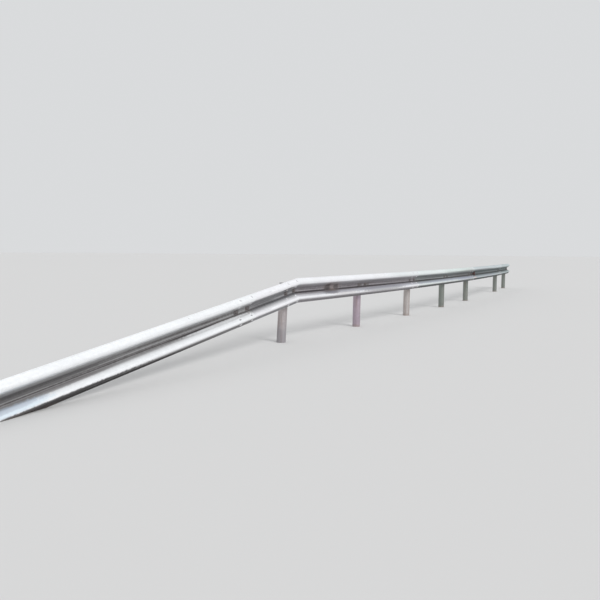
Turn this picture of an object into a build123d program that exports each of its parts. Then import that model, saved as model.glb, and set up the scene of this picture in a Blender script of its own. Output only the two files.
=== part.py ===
from build123d import *
from math import sin, cos, tan, radians, degrees
import os

os.makedirs("parts", exist_ok=True)

# sizes in mm, +Z up, ground at Z = 0
# +X runs along the rail to the far end, -Y is the road side
# the origin is the foot of the last post, where the next bay joins

# line of the rail, with the bays that each level panel covers, from the origin
bay = 2000.0
panel_bays = {4: 1, 3: 2, 2: 2, 1: 2}
curve_radius = 85000.0
rail_centre = 640.0

# two-wave sheet section
sheet = 3.0
wave_depth = 85.0
rail_height = 310.0
web_angle = 55.0
crest_flat = 31.2
lip_setback = 39.0
lip_length = 13.8
lip_angle = 10.0
bend_radius = 24.0
lip_radius = 10.0

# lapped joints: each panel lies in front of the next one
lap = 320.0
nest_step = 5.5

# sloping end: the level rail ends its curve a short straight length before the bend
bend_run = 30.0
end_turn = 6.0
end_slope = 7.3
first_end_length = 1370.0
first_post_back = 125.0

# round posts
post_radius = 57.0
post_wall = 4.5
post_drop = 20.0
first_post_drop = 58.0
missing_post = 6

# lean of the posts in degrees, tops towards the far end
post_lean = {1: 5.5, 2: 1.5, 3: 2.5}

# post caps
cap_wall = 2.0
cap_skirt = 16.0
cap_play = 0.2
cap_edge = 1.5

# brackets between post and rail
bracket_sheet = 6.0
bracket_length = 300.0
bracket_margin = 65.0
bracket_depth = 35.0
bolt_room = 14.0
rail_play = 0.3
leg_lean = 30.0

# holes
bolt_hole = 9.0
bracket_bolt_pitch = 200.0
splice_hole = 9.0
drill_length = 40.0
splice_first = 50.0
splice_pitch = 220.0

# reflector in the valley of the rail
reflector_post = 5
reflector_past = 250.0
reflector_sheet = 2.0
reflector_foot = 60.0
reflector_foot_height = 20.0
reflector_reach = 74.0
reflector_play = 12.0
lens_thickness = 4.0
lens_margin = 5.0

# worked out from the sizes above
plate_front = post_radius + bracket_sheet + bolt_room
rail_back = plate_front + rail_play
front_depth = wave_depth - sheet
web_drop = front_depth / tan(radians(web_angle))
lip_drop = lip_setback / tan(radians(web_angle))
lip_back = lip_setback + lip_length * tan(radians(lip_angle))
half_height = rail_height / 2
rail_top = rail_centre + half_height
bracket_height = rail_height - 2 * bracket_margin
lip_corner = half_height - lip_length
crest_top = lip_corner - lip_drop
crest_low = crest_top - crest_flat
valley_half = crest_low - web_drop
slope_rise = tan(radians(end_slope))


# plan point and directions of the post line, dist mm before the origin
def station(dist, layer=0):
    angle = dist / curve_radius
    reach = curve_radius + layer * nest_step
    spot = (-reach * sin(angle), curve_radius - reach * cos(angle), 0)
    along = (cos(angle), -sin(angle), 0)
    return Plane(origin=spot, x_dir=along, z_dir=(0, 0, 1))


# upright plane across the rail: local X towards the road, local Y up
def across(base, up):
    return Plane(base.origin + Vector(0, 0, up), x_dir=-base.y_dir, z_dir=-base.x_dir)


# plane that faces the road, at a reach from the post line
def facing(base, along, reach, up):
    spot = base.origin + base.x_dir * along - base.y_dir * reach + Vector(0, 0, up)
    return Plane(spot, x_dir=base.x_dir, z_dir=-base.y_dir)


# front face of the two-wave sheet, then its thickness behind it
def wave_face(plate):
    crest = plate + wave_depth
    half = [
        (crest - lip_back, half_height),
        (crest - lip_setback, lip_corner),
        (crest, crest_top),
        (crest, crest_low),
        (crest - front_depth, valley_half),
    ]
    low = [(reach, -up) for reach, up in reversed(half)]
    radii = [lip_radius] + [bend_radius] * 6 + [lip_radius]
    with BuildSketch() as face:
        with BuildLine():
            FilletPolyline(*(half + low), radius=radii)
            offset(amount=sheet, side=Side.RIGHT, closed=True)
        make_face()
    return face.sketch


# layers count forward from the panel at the origin end
level_layer = {number: step for step, number in enumerate(panel_bays)}
bend_layer = level_layer[1]
end_layer = {1: bend_layer + 1, 2: bend_layer + 2}

# ends of the level panels, a lap longer than their bays
panel_ends = {}
run = 0.0
for number, bays in panel_bays.items():
    panel_ends[number] = (run - lap / 2, run + bays * bay + lap / 2)
    run += bays * bay


# a curved panel from one distance to another
def level_solid(near, far, layer):
    start = across(station(near), rail_centre)
    centre = Axis((0, curve_radius, 0), (0, 0, 1))
    with BuildPart() as body:
        with BuildSketch(start):
            add(wave_face(rail_back + layer * nest_step))
        revolve(axis=centre, revolution_arc=-degrees((far - near) / curve_radius))
    return body.part


# the bend where the level rail turns down to the sloping end
bend_at = run - lap / 2
curve_stop = bend_at - bend_run
curve_end = station(curve_stop, bend_layer)
bend = Plane(curve_end.origin - curve_end.x_dir * bend_run, x_dir=curve_end.x_dir, z_dir=(0, 0, 1))
end_x_dir = bend.x_dir.rotate(Axis.Z, end_turn)
end_base = Plane(bend.origin, x_dir=end_x_dir, z_dir=(0, 0, 1))
mitre_dir = bend.x_dir.rotate(Axis.Z, end_turn / 2)
mitre = Plane(bend.origin, x_dir=-mitre_dir.rotate(Axis.Z, 90), z_dir=mitre_dir)
end_run = (rail_centre + half_height) / slope_rise


# a straight panel of upright section, drawn out along the slope
def sloping_solid(near, far, layer):
    begin = Plane(end_base.origin - end_base.x_dir * near, x_dir=end_base.x_dir, z_dir=(0, 0, 1))
    flat = across(begin, rail_centre - near * slope_rise)
    down = -end_base.x_dir - Vector(0, 0, slope_rise)
    with BuildPart() as body:
        with BuildSketch(flat) as section:
            add(wave_face(rail_back + (layer - bend_layer) * nest_step))
        extrude(section.sketch, amount=(far - near) * down.length, dir=down.normalized())
    return body.part


# level panels behind the first one
panels = {}
for number, (near, far) in panel_ends.items():
    if number > 1:
        panels[number] = level_solid(near, far, level_layer[number])

# splice holes in the free end of the last panel, square to the sheet
last_panel = max(panel_bays)
crest_reach = rail_back + wave_depth
web_reach = crest_reach - front_depth / 2
lip_reach = crest_reach - lip_setback / 2
web_mid = (crest_low + valley_half) / 2
lip_mid = (lip_corner + crest_top) / 2
hole_rows = []
for side in (1, -1):
    hole_rows.append((web_reach, side * web_mid, side * web_angle))
    hole_rows.append((lip_reach, side * lip_mid, -side * web_angle))

with BuildPart() as end_of_rail:
    add(panels[last_panel])
    for column in range(2):
        base = station(splice_first + column * splice_pitch - lap / 2)
        for reach, up, lean in hole_rows:
            spot = facing(base, 0, reach, rail_centre + up)
            with Locations(spot.rotated((lean, 0, 0)).location):
                Cylinder(splice_hole, drill_length, mode=Mode.SUBTRACT)
    for side in (-1, 1):
        spot = facing(station(side * bracket_bolt_pitch / 2), 0, rail_back, rail_centre)
        with Locations(spot.location):
            Cylinder(bolt_hole, drill_length, mode=Mode.SUBTRACT)
panels[last_panel] = end_of_rail.part

# first level panel: its near end is bent down along the slope
with BuildPart() as bent_panel:
    with BuildSketch(across(station(curve_stop), rail_centre)) as curve_section:
        add(wave_face(rail_back + bend_layer * nest_step))
    extrude(curve_section.sketch, amount=lap / 2)
    split(bisect_by=mitre, keep=Keep.TOP)
    with BuildPart(mode=Mode.PRIVATE) as turned:
        add(sloping_solid(-lap / 2, lap, bend_layer))
        split(bisect_by=mitre, keep=Keep.BOTTOM)
    add(turned.part)
    add(level_solid(panel_ends[1][0], curve_stop, bend_layer))
panels[1] = bent_panel.part

for number, panel in panels.items():
    panel.label = f"rail_panel_{number}"
    export_step(panel, f"parts/{panel.label}.step")

# sloping panels: a short one, then one down to the ground
with BuildPart() as end_panel_1:
    add(sloping_solid(-lap / 2, first_end_length, end_layer[1]))
    split(bisect_by=mitre, keep=Keep.BOTTOM)
end_panel_1.part.label = "end_panel_1"
export_step(end_panel_1.part, "parts/end_panel_1.step")

with BuildPart() as end_panel_2:
    add(sloping_solid(first_end_length - lap, end_run + lap, end_layer[2]))
    split(bisect_by=Plane.XY, keep=Keep.TOP)
end_panel_2.part.label = "end_panel_2"
export_step(end_panel_2.part, "parts/end_panel_2.step")

# post places: each stands behind the rearmost panel there, the first behind the bent end
last_post = sum(panel_bays.values()) + 1
posts = {}
for number in range(2, last_post + 1):
    dist = (last_post - number) * bay
    behind = [level_layer[k] for k, (near, far) in panel_ends.items() if near < dist < far]
    if number != missing_post:
        posts[number] = station(dist, min(behind))
first_spot = end_base.origin - end_base.x_dir * first_post_back
posts[1] = Plane(first_spot, x_dir=end_base.x_dir, z_dir=(0, 0, 1))

# plan of a bracket: a round recess on the post, a fold each side, two wings
fold = plate_front - bracket_depth
outer_radius = post_radius + bracket_sheet
inner_half = (post_radius**2 - fold**2) ** 0.5
outer_half = (outer_radius**2 - fold**2) ** 0.5
leg_slope = tan(radians(leg_lean))
leg_out = outer_half + bracket_sheet / cos(radians(leg_lean))
wing_back = plate_front - bracket_sheet


def bracket_plan():
    arm = [
        (outer_half, fold),
        (outer_half + bracket_depth * leg_slope, plate_front),
        (bracket_length / 2, plate_front),
        (bracket_length / 2, wing_back),
        (leg_out + (wing_back - fold) * leg_slope, wing_back),
        (leg_out, fold),
    ]
    link = [
        (inner_half, fold),
        (leg_out, fold),
        (leg_out + bracket_sheet * leg_slope, fold + bracket_sheet),
        (inner_half, fold + bracket_sheet),
    ]
    with BuildSketch() as plan:
        Circle(outer_radius)
        Circle(post_radius, mode=Mode.SUBTRACT)
        with Locations((0, fold)):
            block = (2 * outer_half, outer_radius - fold)
            Rectangle(*block, align=(Align.CENTER, Align.MIN), mode=Mode.INTERSECT)
        for side in (-1, 1):
            for outline in (arm, link):
                with BuildLine():
                    Polyline(*[(side * out, reach) for out, reach in outline], close=True)
                make_face()
    return plan.sketch


# each post with its cap and bracket leans about its meeting point with the rail
for number, base in sorted(posts.items()):
    middle = rail_centre - (first_post_back * slope_rise if number == 1 else 0)
    lean = radians(post_lean.get(number, 0))
    axis_dir = base.x_dir * sin(lean) + Vector(0, 0, cos(lean))
    side_dir = base.x_dir * cos(lean) - Vector(0, 0, sin(lean))
    hub = Plane(base.origin + Vector(0, 0, middle), x_dir=side_dir, z_dir=axis_dir)
    reach_up = rail_top - (first_post_drop if number == 1 else post_drop) - middle

    with BuildPart() as post:
        with BuildSketch(hub.offset(-middle - post_radius)):
            Circle(post_radius)
            Circle(post_radius - post_wall, mode=Mode.SUBTRACT)
        extrude(amount=middle + reach_up + post_radius)
        split(bisect_by=Plane.XY, keep=Keep.TOP)
    post.part.label = f"post_{number}"
    export_step(post.part, f"parts/{post.part.label}.step")

    rim = post_radius + cap_play
    skirt_foot = reach_up + cap_wall - cap_skirt
    with BuildPart() as cap:
        with BuildSketch(hub.offset(skirt_foot)):
            Circle(rim + cap_wall)
        extrude(amount=cap_skirt)
        fillet(cap.edges().sort_by(Axis(hub.origin, hub.z_dir))[-1], cap_edge)
        with BuildSketch(hub.offset(skirt_foot)):
            Circle(rim)
        extrude(amount=cap_skirt - cap_wall, mode=Mode.SUBTRACT)
    cap.part.label = f"cap_{number}"
    export_step(cap.part, f"parts/{cap.part.label}.step")

    with BuildPart() as bracket:
        low = hub.offset(-bracket_height / 2)
        with BuildSketch(Plane(low.origin, x_dir=-low.x_dir, z_dir=low.z_dir)):
            add(bracket_plan())
        extrude(amount=bracket_height)
        for side in (-1, 1):
            along = side * bracket_bolt_pitch / 2
            up = middle + (along * slope_rise if number == 1 else 0)
            with Locations(facing(base, along, plate_front, up).location):
                Cylinder(bolt_hole, drill_length, mode=Mode.SUBTRACT)
    bracket.part.label = f"bracket_{number}"
    export_step(bracket.part, f"parts/{bracket.part.label}.step")

# reflector: a bent plate in the valley with a lens facing along the rail
reflector_layer = level_layer[3]
reflector_at = (last_post - reflector_post) * bay - reflector_past
valley = rail_back + reflector_layer * nest_step + sheet + rail_play
mid = across(station(reflector_at), rail_centre)
widening = web_drop / front_depth
narrow = valley_half + reflector_play * (widening - 1 / cos(radians(web_angle)))
wide = narrow + (reflector_reach - reflector_play) * widening


def reflector_outline(margin):
    inner = valley + reflector_play + margin
    outer = valley + reflector_reach - margin
    points = [(inner, narrow - margin), (outer, wide - margin)]
    points += [(outer, margin - wide), (inner, margin - narrow)]
    return Polyline(*points, close=True)


with BuildPart() as reflector_plate:
    with BuildSketch(mid):
        with BuildLine():
            reflector_outline(0)
        make_face()
        with Locations((valley, 0)):
            neck = (reflector_play + reflector_sheet, reflector_foot_height)
            Rectangle(*neck, align=(Align.MIN, Align.CENTER))
    extrude(amount=reflector_sheet)
    with BuildSketch(mid):
        with Locations((valley + reflector_sheet / 2, 0)):
            Rectangle(reflector_sheet, reflector_foot_height)
    extrude(amount=-reflector_foot)
reflector_plate.part.label = "reflector_plate"
export_step(reflector_plate.part, "parts/reflector_plate.step")

with BuildPart() as reflector_lens:
    with BuildSketch(mid.offset(reflector_sheet)):
        with BuildLine():
            reflector_outline(lens_margin)
        make_face()
    extrude(amount=lens_thickness)
reflector_lens.part.label = "reflector_lens"
export_step(reflector_lens.part, "parts/reflector_lens.step")
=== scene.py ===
import math

import bpy
from mathutils import Matrix, Vector


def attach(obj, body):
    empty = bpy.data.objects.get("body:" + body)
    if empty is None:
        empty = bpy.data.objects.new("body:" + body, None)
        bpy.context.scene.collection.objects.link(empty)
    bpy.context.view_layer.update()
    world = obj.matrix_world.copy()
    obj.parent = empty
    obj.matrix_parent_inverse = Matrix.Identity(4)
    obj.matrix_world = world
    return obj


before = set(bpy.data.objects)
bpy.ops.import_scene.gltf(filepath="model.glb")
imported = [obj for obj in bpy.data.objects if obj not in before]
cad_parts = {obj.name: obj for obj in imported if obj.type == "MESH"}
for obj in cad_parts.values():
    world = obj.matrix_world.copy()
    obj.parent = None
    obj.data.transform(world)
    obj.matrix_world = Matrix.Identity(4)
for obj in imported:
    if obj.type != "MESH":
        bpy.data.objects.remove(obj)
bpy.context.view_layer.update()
print("frame loaded:", len(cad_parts), "nodes")

# the rail's own sizes, in metres, as the solids have them
rail = {
    "curveRadius": 85.0,
    "bay": 2.0,
    "panelBays": [1, 2, 2, 2],    # bays under each level panel, from the far end
    "centre": 0.640,
    "halfHeight": 0.155,
    "plateFront": 0.077,
    "bracketSheet": 0.006,
    "back": 0.0773,
    "waveDepth": 0.085,
    "sheet": 0.003,
    "nestStep": 0.0055,
    "lap": 0.32,
    "bendRun": 0.03,    # straight length between the curve and the bend
    "endTurn": math.radians(6.0),
    "endSlope": math.tan(math.radians(7.3)),
    "firstEndLength": 1.37,
    "firstPostBack": 0.125,
}
rail["run"] = rail["bay"] * sum(rail["panelBays"])
rail["bendAt"] = rail["run"] - rail["lap"] / 2
bendLayer = len(rail["panelBays"]) - 1


# middle of the post line, dist metres before the far end
def station(dist, layer=0):
    angle = dist / rail["curveRadius"]
    reach = rail["curveRadius"] + layer * rail["nestStep"]
    spot = Vector((-reach * math.sin(angle), rail["curveRadius"] - reach * math.cos(angle), 0))
    along = Vector((math.cos(angle), -math.sin(angle), 0))
    return spot, along


def roadward(along):
    return Vector((along.y, -along.x, 0))


curveEnd, bendAlong = station(rail["bendAt"] - rail["bendRun"], bendLayer)
bendSpot = curveEnd - bendAlong * rail["bendRun"]
endAlong = Matrix.Rotation(rail["endTurn"], 3, "Z") @ bendAlong
mitreAlong = Matrix.Rotation(rail["endTurn"] / 2, 3, "Z") @ bendAlong


# a point on the level rail, the direction along it and the one across it to the road
def levelPoint(dist, layer, reach, up):
    spot, along = station(dist)
    out = roadward(along)
    return spot + out * (reach + layer * rail["nestStep"]) + Vector((0, 0, rail["centre"] + up)), along, out


# the same on the sloping rail, back metres from the bend
def slopingPoint(back, layer, reach, up):
    out = roadward(endAlong)
    step = (layer - bendLayer) * rail["nestStep"]
    drop = Vector((0, 0, rail["centre"] + up - back * rail["endSlope"]))
    return bendSpot - endAlong * back + out * (reach + step) + drop, endAlong, out


# node helpers: a value may be a number, a vector, a colour or another node's output
def feed(tree, socket, value):
    if isinstance(value, bpy.types.NodeSocket):
        tree.links.new(value, socket)
    else:
        socket.default_value = value


# an underscore in a name stands for a space
def feedNamed(tree, sockets, **values):
    for name, value in values.items():
        feed(tree, sockets[name.replace("_", " ")], value)


def mathNode(tree, operation, *values, clamp=False):
    node = tree.nodes.new("ShaderNodeMath")
    node.operation = operation
    node.use_clamp = clamp
    for index, value in enumerate(values):
        feed(tree, node.inputs[index], value)
    return node.outputs[0]


def plus(tree, first, second, clamp=False):
    return mathNode(tree, "ADD", first, second, clamp=clamp)


def minus(tree, first, second, clamp=False):
    return mathNode(tree, "SUBTRACT", first, second, clamp=clamp)


def times(tree, first, second, clamp=False):
    return mathNode(tree, "MULTIPLY", first, second, clamp=clamp)


def larger(tree, first, second):
    return mathNode(tree, "MAXIMUM", first, second)


def vectorNode(tree, operation, *values, output=0):
    node = tree.nodes.new("ShaderNodeVectorMath")
    node.operation = operation
    for index, value in enumerate(values):
        feed(tree, node.inputs[index], value)
    return node.outputs[output]


def dotNode(tree, first, second):
    return vectorNode(tree, "DOT_PRODUCT", first, second, output=1)


def splitVector(tree, vector):
    node = tree.nodes.new("ShaderNodeSeparateXYZ")
    tree.links.new(vector, node.inputs[0])
    return node.outputs


def joinVector(tree, **axes):
    node = tree.nodes.new("ShaderNodeCombineXYZ")
    feedNamed(tree, node.inputs, **axes)
    return node.outputs[0]


# smoothly from start to end as the value goes from low to high
def rampNode(tree, value, low, high, start=0.0, end=1.0):
    node = tree.nodes.new("ShaderNodeMapRange")
    node.interpolation_type = "SMOOTHSTEP"
    feedNamed(tree, node.inputs, Value=value, From_Min=low, From_Max=high, To_Min=start, To_Max=end)
    return node.outputs["Result"]


# a soft line, 1 at its middle and 0 past its half width, full inside its core
def lineAt(tree, value, middle, halfWidth, coreFrom=0.7):
    gap = mathNode(tree, "ABSOLUTE", minus(tree, value, middle))
    nearness = minus(tree, 1.0, mathNode(tree, "DIVIDE", gap, halfWidth), clamp=True)
    return rampNode(tree, nearness, 0.0, coreFrom)


def mixValue(tree, factor, first, second):
    node = tree.nodes.new("ShaderNodeMix")
    for index, value in ((0, factor), (2, first), (3, second)):
        feed(tree, node.inputs[index], value)
    return node.outputs[0]


def mixColour(tree, factor, first, second):
    node = tree.nodes.new("ShaderNodeMix")
    node.data_type = "RGBA"
    for index, value in ((0, factor), (6, first), (7, second)):
        feed(tree, node.inputs[index], value)
    return node.outputs[2]


def noiseNode(tree, vector, scale, detail=3.0, roughness=0.5):
    node = tree.nodes.new("ShaderNodeTexNoise")
    feedNamed(tree, node.inputs, Vector=vector, Scale=scale, Detail=detail, Roughness=roughness)
    return node.outputs[0]


def newGroup(name, inputs, outputs):
    group = bpy.data.node_groups.new(name, "ShaderNodeTree")
    for label, kind, value in inputs:
        socket = group.interface.new_socket(label, in_out="INPUT", socket_type=kind)
        if value is not None:
            socket.default_value = value
    for label, kind in outputs:
        group.interface.new_socket(label, in_out="OUTPUT", socket_type=kind)
    return group, group.nodes.new("NodeGroupInput").outputs, group.nodes.new("NodeGroupOutput").inputs


floatSocket, vectorSocket = "NodeSocketFloat", "NodeSocketVector"
halfNoise = 0.5    # middle value of a noise

# zinc coating: flaky crystals, soft cloudy patches and a fine grain
zincLook = {"cloudScale": 2.2, "cloudDetail": 4.0, "grainScale": 160.0, "grainDetail": 2.0,
            "glossSwing": 0.16, "crystalRelief": 0.3}


def makeZincCoat():
    group, given, made = newGroup(
        "zincCoat",
        [("Place", vectorSocket, None), ("Crystal size", floatSocket, 0.014),
         ("Crystal depth", floatSocket, 0.10), ("Cloudiness", floatSocket, 0.15)],
        [("Shade", floatSocket), ("Gloss shift", floatSocket), ("Height", floatSocket)],
    )
    cells = group.nodes.new("ShaderNodeTexVoronoi")
    feedNamed(group, cells.inputs, Vector=given["Place"],
              Scale=mathNode(group, "DIVIDE", 1.0, given["Crystal size"]))
    cellTones = group.nodes.new("ShaderNodeSeparateColor")
    group.links.new(cells.outputs["Color"], cellTones.inputs[0])
    flake = minus(group, cellTones.outputs[0], halfNoise)
    cloud = noiseNode(group, given["Place"], zincLook["cloudScale"], zincLook["cloudDetail"])
    cloud = minus(group, cloud, halfNoise)
    grain = noiseNode(group, given["Place"], zincLook["grainScale"], zincLook["grainDetail"])
    uneven = plus(group, times(group, flake, given["Crystal depth"]),
                  times(group, cloud, given["Cloudiness"]))
    relief = times(group, cellTones.outputs[1], zincLook["crystalRelief"])
    feedNamed(group, made, Shade=plus(group, uneven, 1.0),
              Gloss_shift=times(group, plus(group, flake, cloud), zincLook["glossSwing"]),
              Height=plus(group, relief, grain))
    return group


# road dust and splashed soil: thick low down, thin and patchy higher up
dustLook = {"patchScale": 5.0, "patchDetail": 6.0, "patchRoughness": 0.62, "speckScale": 70.0,
            "raggedEdge": 1.4, "soakedAt": 0.75, "filmBand": (0.42, 0.72), "speckBand": (0.60, 0.72),
            "speckShare": 0.6}


def makeRoadDust():
    group, given, made = newGroup(
        "roadDust",
        [("Place", vectorSocket, None), ("Amount", floatSocket, 0.3),
         ("Splash height", floatSocket, 0.25), ("Splash", floatSocket, 0.8)],
        [("Dust", floatSocket), ("Height", floatSocket)],
    )
    patches = noiseNode(group, given["Place"], dustLook["patchScale"], dustLook["patchDetail"],
                        dustLook["patchRoughness"])
    specks = noiseNode(group, given["Place"], dustLook["speckScale"])
    level = mathNode(group, "DIVIDE", splitVector(group, given["Place"])["Z"], given["Splash height"])
    ragged = times(group, minus(group, patches, halfNoise), dustLook["raggedEdge"])
    wet = minus(group, 1.0, plus(group, level, ragged), clamp=True)
    splash = times(group, rampNode(group, wet, 0.0, dustLook["soakedAt"]), given["Splash"])
    film = times(group, rampNode(group, patches, *dustLook["filmBand"]), given["Amount"])
    dotted = times(group, rampNode(group, specks, *dustLook["speckBand"]),
                   times(group, given["Amount"], dustLook["speckShare"]))
    dust = larger(group, splash, plus(group, film, dotted, clamp=True))
    feedNamed(group, made, Dust=dust, Height=times(group, dust, specks))
    return group


# where a point lies on the rail: metres along from the far end, out from the posts, up from the middle
def makeRailPlace():
    group, given, made = newGroup(
        "railPlace",
        [("Place", vectorSocket, None), ("Nest offset", floatSocket, 0.0)],
        [("Along", floatSocket), ("Reach", floatSocket), ("Up", floatSocket)],
    )
    fromCentre = vectorNode(group, "SUBTRACT", given["Place"], (0, rail["curveRadius"], 0))
    axes = splitVector(group, fromCentre)
    flat = vectorNode(group, "MULTIPLY", fromCentre, (1, 1, 0))
    reachLevel = minus(group, vectorNode(group, "LENGTH", flat, output=1), rail["curveRadius"])
    angle = mathNode(group, "ARCTAN2", times(group, axes["X"], -1.0), times(group, axes["Y"], -1.0))
    alongLevel = times(group, angle, rail["curveRadius"])
    upLevel = minus(group, axes["Z"], rail["centre"])

    fromBend = vectorNode(group, "SUBTRACT", given["Place"], bendSpot)
    back = dotNode(group, fromBend, -endAlong)
    reachEnd = plus(group, dotNode(group, fromBend, roadward(endAlong)), bendLayer * rail["nestStep"])
    upEnd = plus(group, upLevel, times(group, back, rail["endSlope"]))
    alongEnd = plus(group, back, rail["bendAt"])
    past = mathNode(group, "GREATER_THAN", dotNode(group, fromBend, -mitreAlong), 0.0)
    reach = minus(group, mixValue(group, past, reachLevel, reachEnd), given["Nest offset"])
    feedNamed(group, made, Along=mixValue(group, past, alongLevel, alongEnd), Reach=reach,
              Up=mixValue(group, past, upLevel, upEnd))
    return group


# grime and painted shade by height on the rail's front: thick in the valley and under the lower lip, none on
# the crests; the darkening of the webs, valley, crease and lower lip is mostly painted shade, with some real
# grime
grimeAndShadeLook = {
    "streakAlong": 0.7, "streakAcross": 95.0, "streakShare": 0.7, "breakupShare": 0.35,
    "webFull": 0.052, "valley": (0.046, 0.010), "valleyGrime": 0.88, "footFull": -0.034,
    "worn": (-0.008, 0.009), "wornShare": 0.16, "crease": -0.0285, "lip": (-0.094, -0.124),
    "frontEdge": (-0.1, 0.1), "backShare": 0.35,
}


def makeRailGrime():
    group, given, made = newGroup(
        "railGrime",
        [("Along", floatSocket, 0.0), ("Reach", floatSocket, 0.0), ("Up", floatSocket, 0.0),
         ("Front", floatSocket, 1.0), ("Breakup", floatSocket, 0.5), ("Amount", floatSocket, 1.0),
         ("Web", floatSocket, 0.6), ("Upper end", floatSocket, 0.082), ("Lower end", floatSocket, -0.070),
         ("Crease width", floatSocket, 0.009), ("Lip", floatSocket, 0.9)],
        [("Grime", floatSocket), ("Crease", floatSocket), ("Streak", floatSocket), ("Front", floatSocket)],
    )
    # long thin rolling lines
    lines = joinVector(group, X=times(group, given["Along"], grimeAndShadeLook["streakAlong"]),
                       Y=times(group, given["Reach"], grimeAndShadeLook["streakAcross"]),
                       Z=times(group, given["Up"], grimeAndShadeLook["streakAcross"]))
    streak = minus(group, noiseNode(group, lines, 1.0), halfNoise)

    up = given["Up"]
    # webs below the upper crest go darker: painted shade and painted dark reflection of the ground, with
    # some grime
    web = times(group, rampNode(group, up, given["Upper end"], grimeAndShadeLook["webFull"]), given["Web"])
    # the valley goes darker still: painted shade in the recess
    deep = times(group, rampNode(group, up, *grimeAndShadeLook["valley"]),
                 minus(group, grimeAndShadeLook["valleyGrime"], given["Web"]))
    # a slightly lighter line along the valley's middle
    worn = times(group, lineAt(group, up, *grimeAndShadeLook["worn"]), grimeAndShadeLook["wornShare"])
    wave = times(group, minus(group, plus(group, web, deep), worn),
                 rampNode(group, up, given["Lower end"], grimeAndShadeLook["footFull"]))
    front = rampNode(group, given["Front"], *grimeAndShadeLook["frontEdge"])
    # a thin near-black line at the valley's lower bend: painted shade
    crease = times(group, lineAt(group, up, grimeAndShadeLook["crease"], given["Crease width"]), front)
    # under the lower lip: painted shade of the gap above the ground
    lip = times(group, rampNode(group, up, *grimeAndShadeLook["lip"]), given["Lip"])
    grimeAndShade = larger(group, larger(group, wave, crease), lip)
    thin = plus(group, times(group, front, 1.0 - grimeAndShadeLook["backShare"]), grimeAndShadeLook["backShare"])

    rough = times(group, minus(group, given["Breakup"], halfNoise), grimeAndShadeLook["breakupShare"])
    loose = plus(group, 1.0, plus(group, rough, times(group, streak, grimeAndShadeLook["streakShare"])))
    grimeAndShade = times(group, times(group, times(group, grimeAndShade, thin), loose), given["Amount"], clamp=True)
    feedNamed(group, made, Grime=grimeAndShade, Crease=crease, Streak=streak, Front=front)
    return group


# one soft-edged spot on the rail, broken up by noise
spotEdge = (1.1, 0.55)


def makeRailSpot():
    group, given, made = newGroup(
        "railSpot",
        [("Along", floatSocket, 0.0), ("Up", floatSocket, 0.0), ("Breakup", floatSocket, 0.5),
         ("Middle along", floatSocket, 0.0), ("Middle up", floatSocket, 0.0),
         ("Half length", floatSocket, 0.2), ("Half height", floatSocket, 0.05)],
        [("Mask", floatSocket)],
    )
    squares = []
    for axis, middle, half in (("Along", "Middle along", "Half length"), ("Up", "Middle up", "Half height")):
        gap = mathNode(group, "DIVIDE", minus(group, given[axis], given[middle]), given[half])
        squares.append(times(group, gap, gap))
    distance = mathNode(group, "SQRT", plus(group, *squares))
    rough = plus(group, distance, minus(group, given["Breakup"], halfNoise))
    group.links.new(rampNode(group, rough, *spotEdge), made["Mask"])
    return group


groups = {
    "zincCoat": makeZincCoat(),
    "roadDust": makeRoadDust(),
    "railPlace": makeRailPlace(),
    "railSpot": makeRailSpot(),
    "railGrime": makeRailGrime(),
}
print("shader groups ready:", ", ".join(groups))


def useGroup(tree, name, **values):
    node = tree.nodes.new("ShaderNodeGroup")
    node.node_tree = groups[name]
    feedNamed(tree, node.inputs, **values)
    return node.outputs


def startMaterial(name, metallic, roughness):
    material = bpy.data.materials.new(name)
    material.use_nodes = True
    tree = material.node_tree
    shader = tree.nodes["Principled BSDF"]
    feedNamed(tree, shader.inputs, Metallic=metallic, Roughness=roughness)
    place = tree.nodes.new("ShaderNodeTexCoord").outputs["Object"]
    return material, tree, shader, place


def connectBump(tree, shader, height, strength, distance):
    bump = tree.nodes.new("ShaderNodeBump")
    feedNamed(tree, bump.inputs, Height=height, Strength=strength, Distance=distance)
    tree.links.new(bump.outputs[0], shader.inputs["Normal"])


def shadeOf(tree, colour, shade):
    node = tree.nodes.new("ShaderNodeCombineColor")
    for index in range(3):
        tree.links.new(times(tree, shade, colour[index]), node.inputs[index])
    return node.outputs[0]


# surface tones, and colours that paint light and shade onto the rail
tonesAndPaintedLight = {
    "dust": (0.33, 0.26, 0.23, 1),
    "rust": (0.22, 0.10, 0.05, 1),
    # dark grey-brown: real grime, and painted shade and shadow, such as under bolt heads and over the far
    # panels
    "grimeAndShade": (0.085, 0.072, 0.074, 1),
    # near black: painted shade in the crease, the valley and under the lower lips, and a few dark marks
    "shadeAndDirtBlack": (0.022, 0.019, 0.021, 1),
    # near white: painted glints on the lower web
    "paintedGlint": (0.92, 0.93, 0.95, 1),
    "pale": (0.80, 0.62, 0.56, 1),      # painted reflection of the reflector's light, on the rail beside it
    "sky": (0.48, 0.64, 0.77, 1),       # painted sky reflection, blue, low on the sloping end
    # grey-green tone high on the level panels
    "greyGreen": (0.42, 0.52, 0.48, 1),
    "darkFootTone": (0.19, 0.20, 0.235, 1),     # dark bluish tone low on the near post
    "paintedBlueShade": (0.30, 0.32, 0.41, 1),      # bluish painted shade with painted sky reflection on the lower wave
}

# galvanised sheet of the rail: bright crests, painted shade with some grime under them and in the valley,
# local spots of painted shade, shadow, glints and reflections, and of dirt
sheetLook = {
    "metallic": 0.38, "roughness": 0.38, "dirtEffect": 0.30, "grimeAndShadeShare": 0.8,
    "crystalDepth": 0.06, "cloudiness": 0.10, "streakShade": 0.10, "splashHeight": 0.035,
    "breakupScale": 30.0, "breakupDetail": 5.0, "breakupRoughness": 0.65,
    "lipEdge": (0.003, 0.0005), "rustBand": (0.50, 0.66), "bump": (0.18, 0.0005),
}


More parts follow.
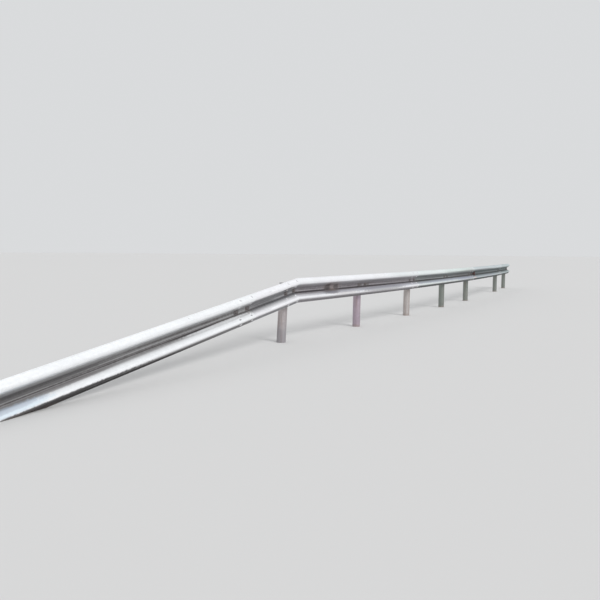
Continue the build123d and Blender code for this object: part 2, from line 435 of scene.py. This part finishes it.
def makeRailMaterial(name, look):
    material, tree, shader, place = startMaterial(name, sheetLook["metallic"], sheetLook["roughness"])
    coat = useGroup(tree, "zincCoat", Place=place, Crystal_depth=sheetLook["crystalDepth"],
                    Cloudiness=sheetLook["cloudiness"])
    soil = useGroup(tree, "roadDust", Place=place, Amount=look["dust"],
                    Splash_height=sheetLook["splashHeight"], Splash=look["splash"])
    spot = useGroup(tree, "railPlace", Place=place, Nest_offset=look["layer"] * rail["nestStep"])
    breakup = noiseNode(tree, place, sheetLook["breakupScale"], sheetLook["breakupDetail"],
                        sheetLook["breakupRoughness"])
    normal = splitVector(tree, tree.nodes.new("ShaderNodeNewGeometry").outputs["Normal"])
    film = useGroup(tree, "railGrime", Along=spot["Along"], Reach=spot["Reach"], Up=spot["Up"],
                    Front=times(tree, normal["Y"], -1.0), Breakup=breakup,
                    Amount=look["grimeAndShade"], Web=look["web"], Upper_end=look["webTop"],
                    Lower_end=look["webFoot"], Crease_width=look["crease"], Lip=look["lip"])
    shade = plus(tree, coat["Shade"], times(tree, film["Streak"], sheetLook["streakShade"]))
    # darken by the grime-and-shade mask, mostly painted shade
    colour = mixColour(tree, film["Grime"], shadeOf(tree, look["tint"], shade), (*look["grimeAndShadeTone"], 1))
    # the crease line goes near black: painted shade
    colour = mixColour(tree, times(tree, film["Crease"], look["creaseDark"]), colour, tonesAndPaintedLight["shadeAndDirtBlack"])

    # thin rust along the cut lips
    edge = mathNode(tree, "ABSOLUTE", spot["Up"])
    lip = rampNode(tree, edge, *(rail["halfHeight"] - inset for inset in sheetLook["lipEdge"]))
    lip = times(tree, lip, rampNode(tree, breakup, *sheetLook["rustBand"], 0.0, look["lipRust"]))
    colour = mixColour(tree, lip, colour, tonesAndPaintedLight["rust"])

    dirty = larger(tree, times(tree, film["Grime"], sheetLook["grimeAndShadeShare"]), lip)
    # spots: painted shade, shadow, glints and reflections, and real grime and dust
    for tone, along, up, halfLength, halfHeight, strength in look["spots"]:
        mask = useGroup(tree, "railSpot", Along=spot["Along"], Up=spot["Up"], Breakup=breakup,
                        Middle_along=along, Middle_up=up, Half_length=halfLength,
                        Half_height=halfHeight)["Mask"]
        mask = times(tree, times(tree, mask, strength), film["Front"])
        colour = mixColour(tree, mask, colour, tonesAndPaintedLight[tone])
        dirty = larger(tree, dirty, mask)
    colour = mixColour(tree, soil["Dust"], colour, tonesAndPaintedLight["dust"])
    dirty = times(tree, larger(tree, dirty, soil["Dust"]), sheetLook["dirtEffect"])
    gloss = plus(tree, coat["Gloss shift"], sheetLook["roughness"])
    feedNamed(tree, shader.inputs, Base_Color=colour, Roughness=plus(tree, gloss, dirty, clamp=True),
              Metallic=minus(tree, sheetLook["metallic"], dirty))
    connectBump(tree, shader, plus(tree, coat["Height"], soil["Height"]), *sheetLook["bump"])
    return material


# dull galvanised posts, caps and brackets, with rusty runs down them
dullLook = {
    "metallic": 0.6, "roughness": 0.5, "dirtRoughness": 0.3, "dirtMetallic": 0.55,
    "crystalDepth": 0.14, "cloudiness": 0.35, "splash": 0.5,
    "runStretch": (26.0, 26.0, 1.6), "runDetail": 4.0, "runBand": (0.52, 0.72), "runRust": 0.3,
    "bump": (0.3, 0.0008),
}


def makeDullZinc(name, look):
    material, tree, shader, place = startMaterial(name, dullLook["metallic"], dullLook["roughness"])
    coat = useGroup(tree, "zincCoat", Place=place, Crystal_depth=dullLook["crystalDepth"],
                    Cloudiness=dullLook["cloudiness"])
    soil = useGroup(tree, "roadDust", Place=place, Amount=look["dust"],
                    Splash_height=look["splashHeight"], Splash=dullLook["splash"])
    stretched = vectorNode(tree, "MULTIPLY", place, dullLook["runStretch"])
    run = rampNode(tree, noiseNode(tree, stretched, 1.0, dullLook["runDetail"]),
                   *dullLook["runBand"], 0.0, dullLook["runRust"])
    colour = mixColour(tree, run, shadeOf(tree, look["tint"], coat["Shade"]), tonesAndPaintedLight["rust"])
    colour = mixColour(tree, soil["Dust"], colour, tonesAndPaintedLight[look["soil"]])
    dirty = larger(tree, soil["Dust"], run)
    gloss = plus(tree, coat["Gloss shift"], dullLook["roughness"])
    feedNamed(tree, shader.inputs, Base_Color=colour,
              Roughness=plus(tree, gloss, times(tree, dirty, dullLook["dirtRoughness"]), clamp=True),
              Metallic=minus(tree, dullLook["metallic"], times(tree, dirty, dullLook["dirtMetallic"])))
    connectBump(tree, shader, plus(tree, coat["Height"], soil["Height"]), *dullLook["bump"])
    return material


boltLook = {
    "metallic": 0.45, "roughness": 0.45, "rustRoughness": 0.35, "rustMetallic": 0.4,
    "crystalSize": 0.006, "crystalDepth": 0.2, "cloudiness": 0.3,
    "rustScale": 45.0, "rustDetail": 4.0, "rustBreakup": 0.65, "rustBand": (0.52, 0.74), "rust": 0.5,
    "bump": (0.35, 0.0005),
}


def makeBoltMaterial(name, tint):
    material, tree, shader, place = startMaterial(name, boltLook["metallic"], boltLook["roughness"])
    coat = useGroup(tree, "zincCoat", Place=place, Crystal_size=boltLook["crystalSize"],
                    Crystal_depth=boltLook["crystalDepth"], Cloudiness=boltLook["cloudiness"])
    patches = noiseNode(tree, place, boltLook["rustScale"], boltLook["rustDetail"], boltLook["rustBreakup"])
    rusty = rampNode(tree, patches, *boltLook["rustBand"], 0.0, boltLook["rust"])
    colour = mixColour(tree, rusty, shadeOf(tree, tint, coat["Shade"]), tonesAndPaintedLight["rust"])
    feedNamed(tree, shader.inputs, Base_Color=colour,
              Roughness=plus(tree, times(tree, rusty, boltLook["rustRoughness"]), boltLook["roughness"]),
              Metallic=minus(tree, boltLook["metallic"], times(tree, rusty, boltLook["rustMetallic"])))
    connectBump(tree, shader, coat["Height"], *boltLook["bump"])
    return material


# painted plate behind the reflector lens
plateLook = {"paint": (0.26, 0.16, 0.14, 1), "roughness": 0.55, "dust": 0.5, "splashHeight": 0.1,
             "wornScale": 60.0, "wornDetail": 5.0, "wornBreakup": 0.6, "wornBand": (0.56, 0.64),
             "bump": (0.3, 0.0004)}


def makePlatePaint():
    material, tree, shader, place = startMaterial("reflectorPaint", 0.0, plateLook["roughness"])
    soil = useGroup(tree, "roadDust", Place=place, Amount=plateLook["dust"],
                    Splash_height=plateLook["splashHeight"], Splash=0.0)
    patches = noiseNode(tree, place, plateLook["wornScale"], plateLook["wornDetail"],
                        plateLook["wornBreakup"])
    worn = rampNode(tree, patches, *plateLook["wornBand"])
    colour = mixColour(tree, worn, plateLook["paint"], tonesAndPaintedLight["rust"])
    colour = mixColour(tree, soil["Dust"], colour, tonesAndPaintedLight["dust"])
    tree.links.new(colour, shader.inputs["Base Color"])
    connectBump(tree, shader, worn, *plateLook["bump"])
    return material


# moulded lens: small prisms in rows, faded brown, paler low down
lensLook = {"upper": (0.30, 0.19, 0.18, 1), "lower": (0.72, 0.62, 0.59, 1), "groove": (0.14, 0.08, 0.075, 1),
            "roughness": 0.22, "coat": 0.6, "prismScale": 210.0, "fade": (-0.015, -0.035),
            "grooveSpread": 90.0, "grooveShare": 0.25, "bump": (0.6, 0.001)}


def makeLensPlastic():
    material, tree, shader, place = startMaterial("lensPlastic", 0.0, lensLook["roughness"])
    prisms = tree.nodes.new("ShaderNodeTexVoronoi")
    feedNamed(tree, prisms.inputs, Vector=place, Scale=lensLook["prismScale"], Randomness=0.0)
    low = rampNode(tree, splitVector(tree, place)["Z"], *(rail["centre"] + up for up in lensLook["fade"]))
    colour = mixColour(tree, low, lensLook["upper"], lensLook["lower"])
    spread = times(tree, prisms.outputs["Distance"], lensLook["grooveSpread"])
    groove = times(tree, spread, lensLook["grooveShare"], clamp=True)
    feedNamed(tree, shader.inputs, Coat_Weight=lensLook["coat"],
              Base_Color=mixColour(tree, groove, colour, lensLook["groove"]))
    connectBump(tree, shader, prisms.outputs["Distance"], *lensLook["bump"])
    return material


# each panel's tones, grime and painted shade; its spots are tone, along, up, half length, half height,
# strength
railLooks = {
    "end_panel_2": {
        "layer": 5, "tint": (0.93, 0.945, 0.96), "grimeAndShadeTone": (0.088, 0.080, 0.080), "grimeAndShade": 1.0,
        "web": 0.50, "webTop": 0.067, "webFoot": -0.070, "crease": 0.008, "creaseDark": 0.25,
        "lip": 0.87, "lipRust": 0.1, "dust": 0.03, "splash": 0.15,
        "spots": [
            # the thin spots at up -0.071 are painted shadow under the lap's bolt heads
            ("grimeAndShade", 15.16, 0.0, 0.050, 0.026, 0.75), ("grimeAndShade", 15.17, -0.071, 0.020, 0.007, 0.7),
            ("grimeAndShade", 14.95, -0.071, 0.018, 0.007, 0.6), ("paintedGlint", 15.50, -0.043, 0.68, 0.011, 0.55),
            ("shadeAndDirtBlack", 15.90, -0.031, 0.42, 0.006, 0.75), ("shadeAndDirtBlack", 17.80, 0.002, 1.00, 0.022, 0.60),
            ("grimeAndShade", 17.55, -0.046, 0.70, 0.011, 0.50), ("sky", 18.0, -0.072, 0.50, 0.030, 0.45),
            ("paintedBlueShade", 18.02, -0.060, 0.45, 0.016, 0.30), ("shadeAndDirtBlack", 17.75, -0.114, 1.25, 0.020, 0.88),
            ("shadeAndDirtBlack", 17.45, -0.146, 1.70, 0.024, 0.90),
        ],
    },
    "end_panel_1": {
        "layer": 4, "tint": (0.92, 0.92, 0.945), "grimeAndShadeTone": (0.080, 0.080, 0.088), "grimeAndShade": 1.0,
        "web": 0.66, "webTop": 0.084, "webFoot": -0.080, "crease": 0.008, "creaseDark": 0.4,
        "lip": 0.75, "lipRust": 0.1, "dust": 0.04, "splash": 0.6,
        "spots": [("grimeAndShade", 14.08, 0.062, 0.14, 0.024, 0.6), ("shadeAndDirtBlack", 14.60, -0.010, 0.30, 0.022, 0.35)],
    },
    "rail_panel_1": {
        "layer": 3, "tint": (0.90, 0.905, 0.93), "grimeAndShadeTone": (0.100, 0.082, 0.094), "grimeAndShade": 1.0,
        "web": 0.72, "webTop": 0.090, "webFoot": -0.088, "crease": 0.013, "creaseDark": 0.85,
        "lip": 0.75, "lipRust": 0.2, "dust": 0.06, "splash": 0.6,
        "spots": [
            ("dust", 12.92, 0.015, 0.26, 0.075, 0.40), ("grimeAndShade", 13.03, 0.012, 0.085, 0.052, 0.85),
            ("grimeAndShade", 12.80, 0.0, 0.075, 0.048, 0.80), ("grimeAndShade", 12.98, -0.060, 0.24, 0.026, 0.70),
            ("shadeAndDirtBlack", 13.03, -0.016, 0.12, 0.016, 0.5), ("dust", 12.60, -0.085, 0.40, 0.022, 0.30),
            ("grimeAndShade", 12.06, 0.0, 0.060, 0.032, 0.6), ("grimeAndShade", 11.81, 0.0, 0.055, 0.030, 0.6),
            ("grimeAndShade", 11.35, -0.080, 1.0, 0.032, 0.55), ("greyGreen", 10.3, 0.12, 1.1, 0.06, 0.28),
            ("paintedBlueShade", 11.2, -0.064, 2.6, 0.026, 0.32), ("shadeAndDirtBlack", 11.3, -0.150, 2.6, 0.020, 0.50),
        ],
    },
    # from rail_panel_2 on, the tints and tones grow darker and teal towards the far end: painted shade of
    # the trees
    "rail_panel_2": {
        "layer": 2, "tint": (0.79, 0.845, 0.835), "grimeAndShadeTone": (0.078, 0.086, 0.090), "grimeAndShade": 1.0,
        "web": 0.80, "webTop": 0.094, "webFoot": -0.092, "crease": 0.018, "creaseDark": 0.85,
        "lip": 0.85, "lipRust": 0.2, "dust": 0.08, "splash": 0.6,
        "spots": [
            ("paintedGlint", 10.02, -0.060, 0.16, 0.040, 0.75), ("grimeAndShade", 10.12, 0.01, 0.05, 0.03, 0.6),
            ("grimeAndShade", 7.0, 0.088, 1.4, 0.014, 0.50), ("greyGreen", 6.9, 0.11, 1.7, 0.06, 0.35),
            ("grimeAndShade", 6.3, 0.0, 1.2, 0.15, 0.30), ("paintedBlueShade", 7.7, -0.066, 3.2, 0.028, 0.55),
            ("paintedBlueShade", 6.6, -0.078, 0.9, 0.034, 0.45), ("shadeAndDirtBlack", 7.7, -0.146, 3.2, 0.036, 0.65),
        ],
    },
    "rail_panel_3": {
        "layer": 1, "tint": (0.53, 0.59, 0.61), "grimeAndShadeTone": (0.056, 0.078, 0.080), "grimeAndShade": 1.02,
        "web": 0.84, "webTop": 0.100, "webFoot": -0.112, "crease": 0.022, "creaseDark": 0.8,
        "lip": 1.0, "lipRust": 0.3, "dust": 0.08, "splash": 0.6,
        "spots": [
            ("grimeAndShade", 4.8, 0.088, 1.6, 0.018, 0.45), ("paintedBlueShade", 4.4, -0.074, 2.0, 0.030, 0.25),
            ("pale", 5.70, -0.092, 0.16, 0.020, 0.55), ("shadeAndDirtBlack", 3.8, -0.146, 3.2, 0.040, 0.65),
        ],
    },
    "rail_panel_4": {
        "layer": 0, "tint": (0.47, 0.55, 0.56), "grimeAndShadeTone": (0.045, 0.070, 0.072), "grimeAndShade": 1.02,
        "web": 0.84, "webTop": 0.100, "webFoot": -0.112, "crease": 0.022, "creaseDark": 0.8,
        "lip": 1.0, "lipRust": 0.3, "dust": 0.08, "splash": 0.6,
        "spots": [("shadeAndDirtBlack", 0.8, -0.146, 2.6, 0.040, 0.65)],
    },
}

# looks of the posts, caps and brackets; the posts differ a little in tone along the run, and posts 4 to 8
# are darker, painted shade of the bushes
postNumbers = (1, 2, 3, 4, 5, 7, 8)
dullLooks = {
    "greyPost": {"kind": "post", "numbers": (1,), "tint": (0.48, 0.435, 0.43), "dust": 0.32,
                 "splashHeight": 0.36, "soil": "darkFootTone"},
    "lilacPost": {"kind": "post", "numbers": (2,), "tint": (0.45, 0.375, 0.435), "dust": 0.20,
                  "splashHeight": 0.05, "soil": "dust"},
    "palePost": {"kind": "post", "numbers": (3,), "tint": (0.50, 0.465, 0.45), "dust": 0.24,
                 "splashHeight": 0.05, "soil": "dust"},
    "shadeDarkenedPost": {"kind": "post", "numbers": (4, 5, 7, 8), "tint": (0.24, 0.26, 0.24), "dust": 0.16,
                  "splashHeight": 0.05, "soil": "dust"},
    "cap": {"kind": "cap", "numbers": postNumbers, "tint": (0.50, 0.50, 0.52), "dust": 0.25,
            "splashHeight": 0.03, "soil": "dust"},
    "bracket": {"kind": "bracket", "numbers": postNumbers, "tint": (0.44, 0.44, 0.46), "dust": 0.3,
                "splashHeight": 0.03, "soil": "dust"},
}
# the darkest steel is for the valley bolt heads and plate washers
boltTints = {"boltSteel": (0.72, 0.72, 0.74), "nutSteel": (0.42, 0.42, 0.43),
             "darkSteel": (0.15, 0.135, 0.135)}


def dress(node, material):
    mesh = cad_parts[node].data
    mesh.materials.clear()
    mesh.materials.append(material)


for node, look in railLooks.items():
    dress(node, makeRailMaterial("zinc_" + node, look))
for name, look in dullLooks.items():
    zinc = makeDullZinc(name + "Zinc", look)
    for number in look["numbers"]:
        dress(f"{look['kind']}_{number}", zinc)
dress("reflector_plate", makePlatePaint())
dress("reflector_lens", makeLensPlastic())
steels = {name: makeBoltMaterial(name, tint) for name, tint in boltTints.items()}
print("materials ready:", len(bpy.data.materials))

spinSeed = 7    # for the loose turn of the nuts


# fasteners by Geometry Nodes: one instance on each point, square to the point's own heading
def makeFastenerTree(name, material, parts):
    tree = bpy.data.node_groups.new(name, "GeometryNodeTree")
    tree.interface.new_socket("Geometry", in_out="INPUT", socket_type="NodeSocketGeometry")
    tree.interface.new_socket("Geometry", in_out="OUTPUT", socket_type="NodeSocketGeometry")
    sizes = {}
    for label, value in parts["sizes"].items():
        socket = tree.interface.new_socket(label, in_out="INPUT", socket_type="NodeSocketFloat")
        socket.default_value = value
        sizes[label] = socket.identifier
    given = tree.nodes.new("NodeGroupInput").outputs
    made = tree.nodes.new("NodeGroupOutput").inputs
    joined = tree.nodes.new("GeometryNodeJoinGeometry")
    for piece in parts["pieces"]:
        piece(tree, given, joined.inputs[0])

    rotation = None
    for label, axis, pivot in (("heading", "Z", "AUTO"), ("along", "X", "Z")):
        wanted = tree.nodes.new("GeometryNodeInputNamedAttribute")
        wanted.data_type = "FLOAT_VECTOR"
        wanted.inputs["Name"].default_value = label
        turn = tree.nodes.new("FunctionNodeAlignRotationToVector")
        turn.axis = axis
        turn.pivot_axis = pivot
        tree.links.new(wanted.outputs[0], turn.inputs["Vector"])
        if rotation:
            tree.links.new(rotation, turn.inputs["Rotation"])
        rotation = turn.outputs[0]
    spin = tree.nodes.new("FunctionNodeRandomValue")
    spin.data_type = "FLOAT"
    spin.inputs["Seed"].default_value = spinSeed
    tree.links.new(given["Loose turn"], spin.inputs[3])
    rotate = tree.nodes.new("FunctionNodeRotateRotation")
    rotate.rotation_space = "LOCAL"
    tree.links.new(rotation, rotate.inputs[0])
    tree.links.new(joinVector(tree, Z=spin.outputs[1]), rotate.inputs[1])

    place = tree.nodes.new("GeometryNodeInstanceOnPoints")
    feedNamed(tree, place.inputs, Points=given["Geometry"], Instance=joined.outputs[0],
              Rotation=rotate.outputs[0])
    realize = tree.nodes.new("GeometryNodeRealizeInstances")
    tree.links.new(place.outputs[0], realize.inputs[0])
    setMaterial = tree.nodes.new("GeometryNodeSetMaterial")
    feedNamed(tree, setMaterial.inputs, Geometry=realize.outputs[0], Material=material)
    tree.links.new(setMaterial.outputs[0], made["Geometry"])
    return tree, sizes


def lifted(tree, geometry, height, target):
    move = tree.nodes.new("GeometryNodeTransform")
    feedNamed(tree, move.inputs, Geometry=geometry, Translation=joinVector(tree, Z=height))
    tree.links.new(move.outputs[0], target)


# round head: a ball flattened to the head's height, sunk to its waist
def domePiece(segments, rings):
    def build(tree, given, target):
        ball = tree.nodes.new("GeometryNodeMeshUVSphere")
        feedNamed(tree, ball.inputs, Segments=segments, Rings=rings, Radius=1.0)
        scale = joinVector(tree, X=given["Head radius"], Y=given["Head radius"], Z=given["Head height"])
        size = tree.nodes.new("GeometryNodeTransform")
        feedNamed(tree, size.inputs, Geometry=ball.outputs["Mesh"], Scale=scale)
        smooth = tree.nodes.new("GeometryNodeSetShadeSmooth")
        tree.links.new(size.outputs[0], smooth.inputs[0])
        tree.links.new(smooth.outputs[0], target)
    return build


# disc, nut or shank, standing on the sheet or on the piece that base names
def diskPiece(radius, height, sides, base=None):
    def build(tree, given, target):
        disk = tree.nodes.new("GeometryNodeMeshCylinder")
        feedNamed(tree, disk.inputs, Vertices=sides, Radius=given[radius], Depth=given[height])
        lift = times(tree, given[height], 0.5)
        if base:
            lift = plus(tree, lift, given[base])
        lifted(tree, disk.outputs["Mesh"], lift, target)
    return build


# flat plate, long side along the rail
def platePiece(tree, given, target):
    box = tree.nodes.new("GeometryNodeMeshCube")
    size = joinVector(tree, X=given["Plate length"], Y=given["Plate width"], Z=given["Plate thickness"])
    tree.links.new(size, box.inputs["Size"])
    lifted(tree, box.outputs["Mesh"], times(tree, given["Plate thickness"], 0.5), target)


# spots: place, heading out of the sheet, direction along the rail
def fastenerPiece(name, spots, parts, steel, **changed):
    mesh = bpy.data.meshes.new(name + "Points")
    mesh.from_pydata([spot for spot, heading, along in spots], [], [])
    for column, label in ((1, "heading"), (2, "along")):
        attribute = mesh.attributes.new(label, "FLOAT_VECTOR", "POINT")
        for index, entry in enumerate(spots):
            attribute.data[index].vector = entry[column]
    points = bpy.data.objects.new(name + "Points", mesh)
    bpy.context.scene.collection.objects.link(points)
    tree, sockets = makeFastenerTree(name + "Nodes", steel, parts)
    modifier = points.modifiers.new("fasteners", "NODES")
    modifier.node_group = tree
    for label, value in parts["sizes"].items():
        modifier[sockets[label]] = changed.get(label.replace(" ", "_"), value)
    evaluated = points.evaluated_get(bpy.context.evaluated_depsgraph_get())
    solid = bpy.data.meshes.new_from_object(evaluated)
    piece = bpy.data.objects.new(name, solid)
    bpy.context.scene.collection.objects.link(piece)
    points.modifiers.remove(modifier)
    bpy.data.objects.remove(points)
    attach(piece, "root")
    print(name, len(spots), "fasteners,", len(solid.polygons), "faces")


headParts = {
    "sizes": {"Head radius": 0.016, "Head height": 0.0085, "Loose turn": 0.0},
    "pieces": [domePiece(20, 10)],
}
nutParts = {
    "sizes": {"Washer radius": 0.018, "Washer thickness": 0.003, "Nut radius": 0.0145, "Nut height": 0.013,
              "Shank radius": 0.008, "Shank length": 0.024, "Loose turn": math.tau},
    "pieces": [diskPiece("Washer radius", "Washer thickness", 24),
               diskPiece("Nut radius", "Nut height", 6, "Washer thickness"),
               diskPiece("Shank radius", "Shank length", 14)],
}
plateParts = {
    "sizes": {"Plate length": 0.076, "Plate width": 0.044, "Plate thickness": 0.004, "Loose turn": 0.0},
    "pieces": [platePiece],
}

bolts = {
    "columns": (0.050, 0.270),        # from the end of the front panel
    "pitch": 0.200,                   # between the two bolts of a bracket
    "webAngle": math.radians(55),
    "webMid": (0.041, 0.0540),        # depth behind the crest and height of the inner webs
    "lipMid": (0.0195, 0.12755),      # the same for the lips
    "nutGap": 0.0002,                 # clear air behind the two sheets of a lap
    "postHead": 0.0630,               # reach of the post bolt's head and nut
    "postNut": -0.0555,
    "reflectorAt": 5.72,              # before the far end
    "reflectorPlate": 0.0023,         # its front, out from the valley
    "screwRadius": 0.008,
    "screwHeight": 0.005,
}

# rows of a splice: depth, height, and the direction square to the sheet
spliceRows = []
for side in (1, -1):
    for (depth, height), lean in ((bolts["webMid"], -side), (bolts["lipMid"], side)):
        spliceRows.append((depth, side * height, lean * bolts["webAngle"]))

crestReach = rail["back"] + rail["waveDepth"]
valleyReach = rail["back"] + rail["sheet"]
wingBack = rail["plateFront"] - rail["bracketSheet"]
heads, nuts, plates, bracketHeads = [], [], [], []


def addSplice(pointAt, start, frontLayer):
    for column in bolts["columns"]:
        for depth, height, lean in spliceRows:
            spot, along, out = pointAt(start + column, frontLayer, crestReach - depth, height)
            heading = out * math.cos(lean) + Vector((0, 0, math.sin(lean)))
            heads.append((spot, heading, along))
            nuts.append((spot - heading * (2 * rail["sheet"] + bolts["nutGap"]), -heading, along))


# a bolt with a plate washer in the valley, and its nut behind the bracket or the rear panel
def addValleyBolt(pointAt, dist, front, rear, behind):
    spot, along, out = pointAt(dist, front, valleyReach, 0)
    plates.append((spot, out, along))
    bracketHeads.append((spot + out * plateParts["sizes"]["Plate thickness"], out, along))
    spot, along, out = pointAt(dist, rear, behind, 0)
    nuts.append((spot, -out, along))


# the bolt through the post, behind the rail's valley
def addPostBolt(pointAt, dist, layer):
    spot, along, out = pointAt(dist, layer, bolts["postHead"], 0)
    heads.append((spot, out, along))
    spot, along, out = pointAt(dist, layer, bolts["postNut"], 0)
    nuts.append((spot, -out, along))


jointAt = 0.0
for layer, bays in enumerate(rail["panelBays"][:-1]):
    jointAt += bays * rail["bay"]
    addSplice(levelPoint, jointAt - rail["lap"] / 2, layer + 1)
lastLap = rail["firstEndLength"] - rail["lap"]
addSplice(slopingPoint, 0.0, bendLayer + 1)
addSplice(slopingPoint, lastLap, bendLayer + 2)

# rear and front layer of the panels at each level post
posts = {8: (0, 0), 7: (0, 1), 5: (1, 2), 4: (2, 2), 3: (2, 3), 2: (3, 3)}
for number, (rear, front) in posts.items():
    middle = (max(posts) - number) * rail["bay"]
    for side in (-1, 1):
        addValleyBolt(levelPoint, middle + side * bolts["pitch"] / 2, front, rear, wingBack)
    addPostBolt(levelPoint, middle, rear)
for side in (-1, 1):
    back = rail["firstPostBack"] + side * bolts["pitch"] / 2
    addValleyBolt(slopingPoint, back, bendLayer + 1, bendLayer, wingBack)
addPostBolt(slopingPoint, rail["firstPostBack"], bendLayer)
for column in bolts["columns"]:
    addValleyBolt(slopingPoint, lastLap + column, bendLayer + 2, bendLayer + 1, rail["back"])

spot, along, out = levelPoint(bolts["reflectorAt"], 1, valleyReach + bolts["reflectorPlate"], 0)
reflectorScrew = [(spot, out, along)]

fastenerPiece("bolt_heads", heads, headParts, steels["boltSteel"])
fastenerPiece("bracket_bolt_heads", bracketHeads, headParts, steels["darkSteel"])
fastenerPiece("bolt_nuts", nuts, nutParts, steels["nutSteel"])
fastenerPiece("plate_washers", plates, plateParts, steels["darkSteel"])
fastenerPiece("reflector_screw", reflectorScrew, headParts, steels["boltSteel"],
              Head_radius=bolts["screwRadius"], Head_height=bolts["screwHeight"])

# floor, backdrop and soft studio light
stage = {
    "floorSize": 600.0,
    "floorColour": (0.62, 0.615, 0.61, 1),
    "floorRoughness": 0.9,
    "skyColour": (0.97, 0.985, 1.0, 1),
    "skyBand": (-0.05, 0.9),
    "skySide": 0.46,
    "skyTop": 0.88,
    "backdrop": 0.72,
    "sun": 1.62,
    "sunSoftness": math.radians(28),
    "sunHeight": math.radians(40),
    "sunSide": math.radians(-115),    # the road side, a little from behind the camera
}


def makeFloor():
    mesh = bpy.data.meshes.new("floor")
    half = stage["floorSize"] / 2
    corners = [(-half, -half, 0), (half, -half, 0), (half, half, 0), (-half, half, 0)]
    mesh.from_pydata(corners, [], [(0, 1, 2, 3)])
    floor = bpy.data.objects.new("floor", mesh)
    bpy.context.scene.collection.objects.link(floor)
    material, tree, shader, place = startMaterial("floorPaint", 0.0, stage["floorRoughness"])
    shader.inputs["Base Color"].default_value = stage["floorColour"]
    mesh.materials.append(material)


# the camera and reflections see an even backdrop, the light comes from a sky brighter at the top
def makeWorld():
    world = bpy.data.worlds.new("studio")
    bpy.context.scene.world = world
    world.use_nodes = True
    tree = world.node_tree
    heading = tree.nodes.new("ShaderNodeTexCoord").outputs["Generated"]
    level = rampNode(tree, splitVector(tree, heading)["Z"], *stage["skyBand"], stage["skySide"],
                     stage["skyTop"])
    path = tree.nodes.new("ShaderNodeLightPath").outputs
    seen = path["Is Camera Ray"]
    for ray in ("Is Glossy Ray", "Is Transmission Ray"):
        seen = larger(tree, seen, path[ray])
    feedNamed(tree, tree.nodes["Background"].inputs, Color=stage["skyColour"],
              Strength=mixValue(tree, seen, level, stage["backdrop"]))


def makeSun():
    lamp = bpy.data.lights.new("softSun", "SUN")
    lamp.energy = stage["sun"]
    lamp.angle = stage["sunSoftness"]
    sun = bpy.data.objects.new("softSun", lamp)
    bpy.context.scene.collection.objects.link(sun)
    high, side = stage["sunHeight"], stage["sunSide"]
    towards = Vector((math.cos(high) * math.cos(side), math.cos(high) * math.sin(side), math.sin(high)))
    sun.rotation_euler = towards.to_track_quat("Z", "Y").to_euler()


makeFloor()
makeWorld()
makeSun()
print("stage ready")

# the photo's camera, from the rail's lines and the post positions
camera = {
    "place": (-20.663, -2.207, 1.114),
    "heading": math.radians(24.63),
    "pitch": math.radians(4.48),
    "roll": math.radians(0.37),
    "focalPixels": 606.0,
    "imageSize": 600.0,
    "sensor": 36.0,
    "clipEnd": 500.0,
}


def makeCamera():
    lens = bpy.data.cameras.new("photoCamera")
    lens.sensor_width = camera["sensor"]
    lens.lens = camera["sensor"] * camera["focalPixels"] / camera["imageSize"]
    lens.clip_end = camera["clipEnd"]
    eye = bpy.data.objects.new("photoCamera", lens)
    bpy.context.scene.collection.objects.link(eye)
    turn, dip, roll = camera["heading"], camera["pitch"], camera["roll"]
    ahead = Vector((math.cos(turn) * math.cos(dip), math.sin(turn) * math.cos(dip), -math.sin(dip)))
    right = Vector((math.sin(turn), -math.cos(turn), 0))
    top = right.cross(ahead)
    right, top = right * math.cos(roll) + top * math.sin(roll), top * math.cos(roll) - right * math.sin(roll)
    axes = Matrix((right, top, -ahead)).transposed().to_4x4()
    eye.matrix_world = Matrix.Translation(camera["place"]) @ axes
    bpy.context.scene.camera = eye


makeCamera()
bpy.context.scene.view_settings.view_transform = "Standard"
print("camera ready")
